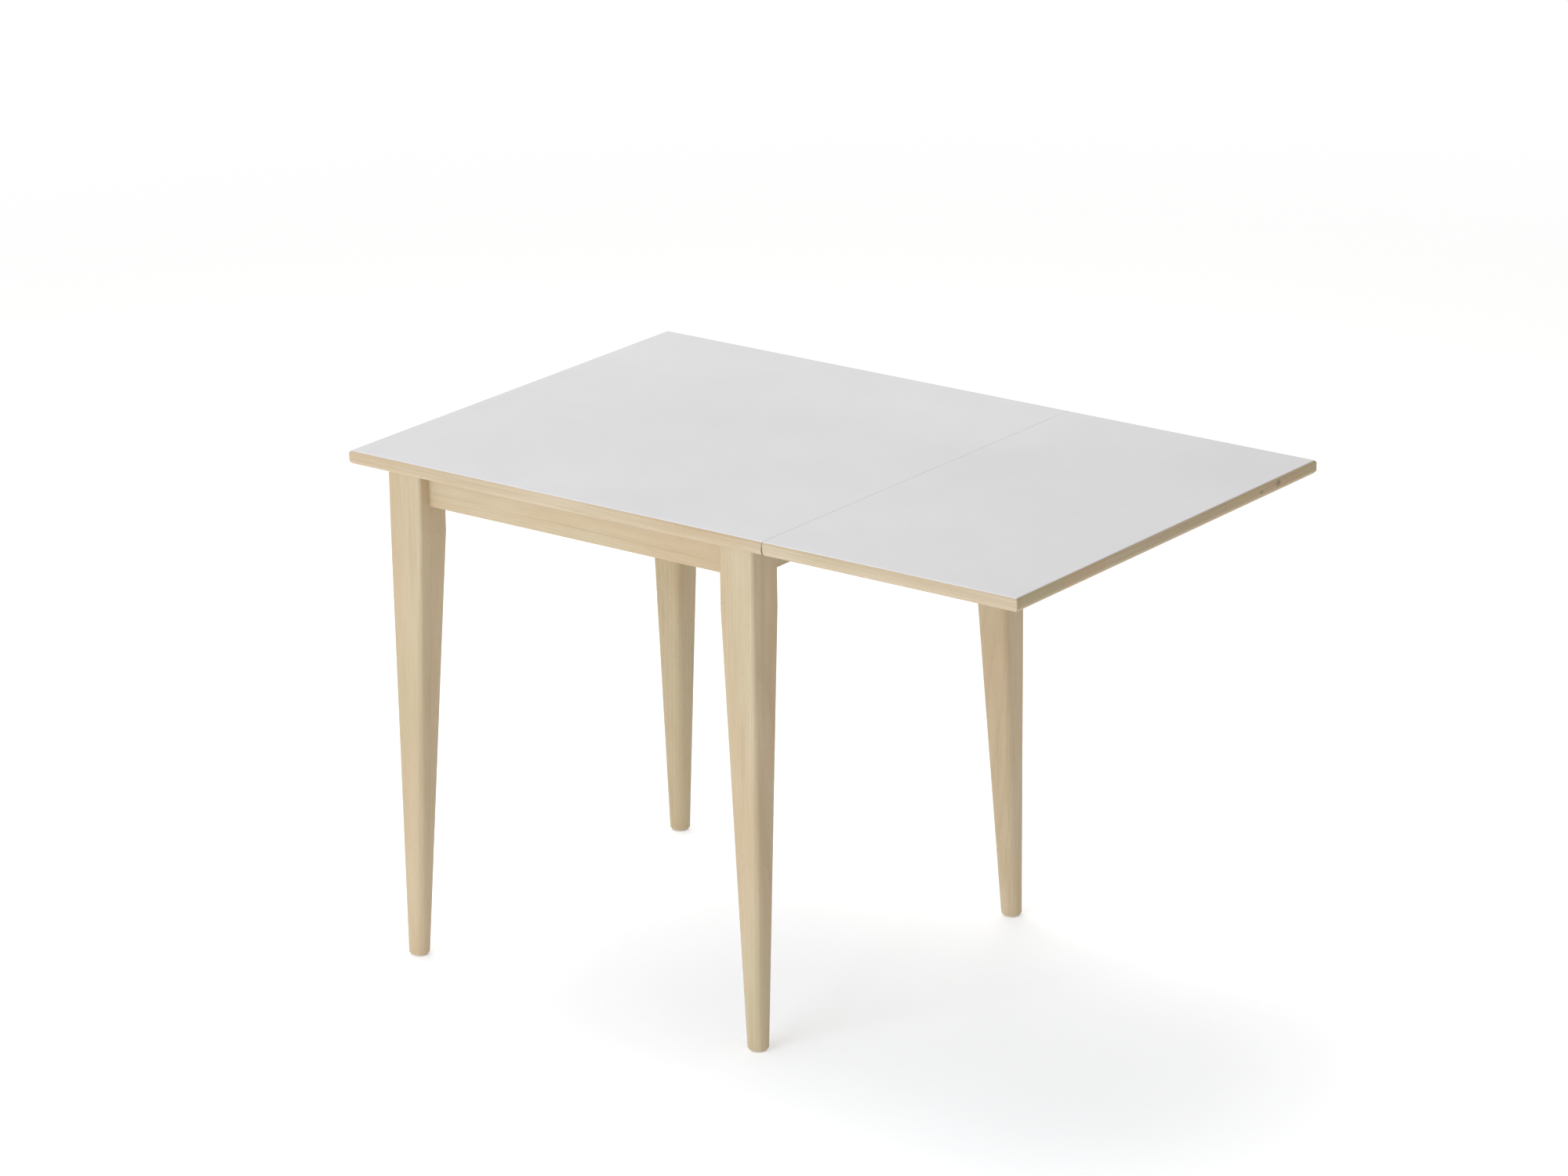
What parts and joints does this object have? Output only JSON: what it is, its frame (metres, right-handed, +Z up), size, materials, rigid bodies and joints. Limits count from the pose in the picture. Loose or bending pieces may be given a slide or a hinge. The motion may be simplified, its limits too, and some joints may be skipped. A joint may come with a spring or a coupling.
{
  "type": "drop-leaf table",
  "caption": "Drop-leaf table: laminate top on tapered wooden legs, with a hinged leaf held up by self-locking steel brackets under the seam.",
  "frame": {"origin": "on the floor, under the middle of the open table", "axes": "+X along the table from the fixed top to the leaf, +Y to the back, +Z up"},
  "size_m": [1.1, 0.7, 0.74],
  "materials": {
    "laminate": "satin",
    "backer": "matte",
    "board_core": "raw particle board",
    "lipping_wood": "clear matt lacquer",
    "leg_wood": "clear matt lacquer",
    "apron_wood": "clear matt lacquer",
    "inner_wood": "sawn, unfinished",
    "zinc_steel": "bright zinc",
    "spring_steel": "oiled",
    "glide_plastic": "matte"
  },
  "bodies": {
    "frame": {"angle_bracket_screws": "zinc_steel", "apron_angle_brackets": "zinc_steel", "apron_back": "apron_wood", "apron_dowels": "inner_wood", "apron_end": "apron_wood", "apron_front": "apron_wood", "apron_left": "apron_wood", "bracket_back_base": "zinc_steel", "bracket_base_screws": "zinc_steel", "bracket_front_base": "zinc_steel", "bracket_latch_rivets": "zinc_steel", "bracket_latch_springs": "spring_steel", "bracket_pivot_pins": "zinc_steel", "corner_block_back_left": "inner_wood", "corner_block_back_right": "inner_wood", "corner_block_front_left": "inner_wood", "corner_block_front_right": "inner_wood", "corner_block_screws": "zinc_steel", "fixed_top_backer": "backer", "fixed_top_core": "board_core", "fixed_top_laminate": "laminate", "fixed_top_lipping_back": "lipping_wood", "fixed_top_lipping_front": "lipping_wood", "fixed_top_lipping_left": "lipping_wood", "fixed_top_lipping_seam": "lipping_wood", "foot_glide_back_left": "glide_plastic", "foot_glide_back_right": "glide_plastic", "foot_glide_front_left": "glide_plastic", "foot_glide_front_right": "glide_plastic", "hanger_bolts": "zinc_steel", "hanger_nuts": "zinc_steel", "hanger_washers": "zinc_steel", "hinge_back_fixed_flap": "zinc_steel", "hinge_fixed_screws": "zinc_steel", "hinge_front_fixed_flap": "zinc_steel", "hinge_pins": "zinc_steel", "leg_back_left": "leg_wood", "leg_back_right": "leg_wood", "leg_front_left": "leg_wood", "leg_front_right": "leg_wood"},
    "leaf": {"bracket_arm_screws": "zinc_steel", "bracket_arm_studs": "zinc_steel", "bracket_back_arm": "zinc_steel", "bracket_front_arm": "zinc_steel", "hinge_back_leaf_flap": "zinc_steel", "hinge_front_leaf_flap": "zinc_steel", "hinge_leaf_screws": "zinc_steel", "leaf_backer": "backer", "leaf_core": "board_core", "leaf_laminate": "laminate", "leaf_lipping_back": "lipping_wood", "leaf_lipping_front": "lipping_wood", "leaf_lipping_right": "lipping_wood", "leaf_lipping_seam": "lipping_wood"},
    "latch_front": {"bracket_front_latch": "zinc_steel"},
    "latch_back": {"bracket_back_latch": "zinc_steel"}
  },
  "joints": [
    {"name": "leaf_fold", "type": "hinge", "parent": "frame", "child": "leaf", "pos_m": [0.15, 0, 0.714], "axis": [0, 1, 0], "range_deg": [0, 90]},
    {"name": "latch_front_release", "type": "hinge", "parent": "frame", "child": "latch_front", "pos_m": [0.1, -0.14275, 0.668], "axis": [0, 1, 0], "range_deg": [0, 10], "stiffness_Nm_per_rad": 0.2, "springref_deg": -14.32},
    {"name": "latch_back_release", "type": "hinge", "parent": "frame", "child": "latch_back", "pos_m": [0.1, 0.14275, 0.668], "axis": [0, 1, 0], "range_deg": [0, 10], "stiffness_Nm_per_rad": 0.2, "springref_deg": -14.32}
  ]
}
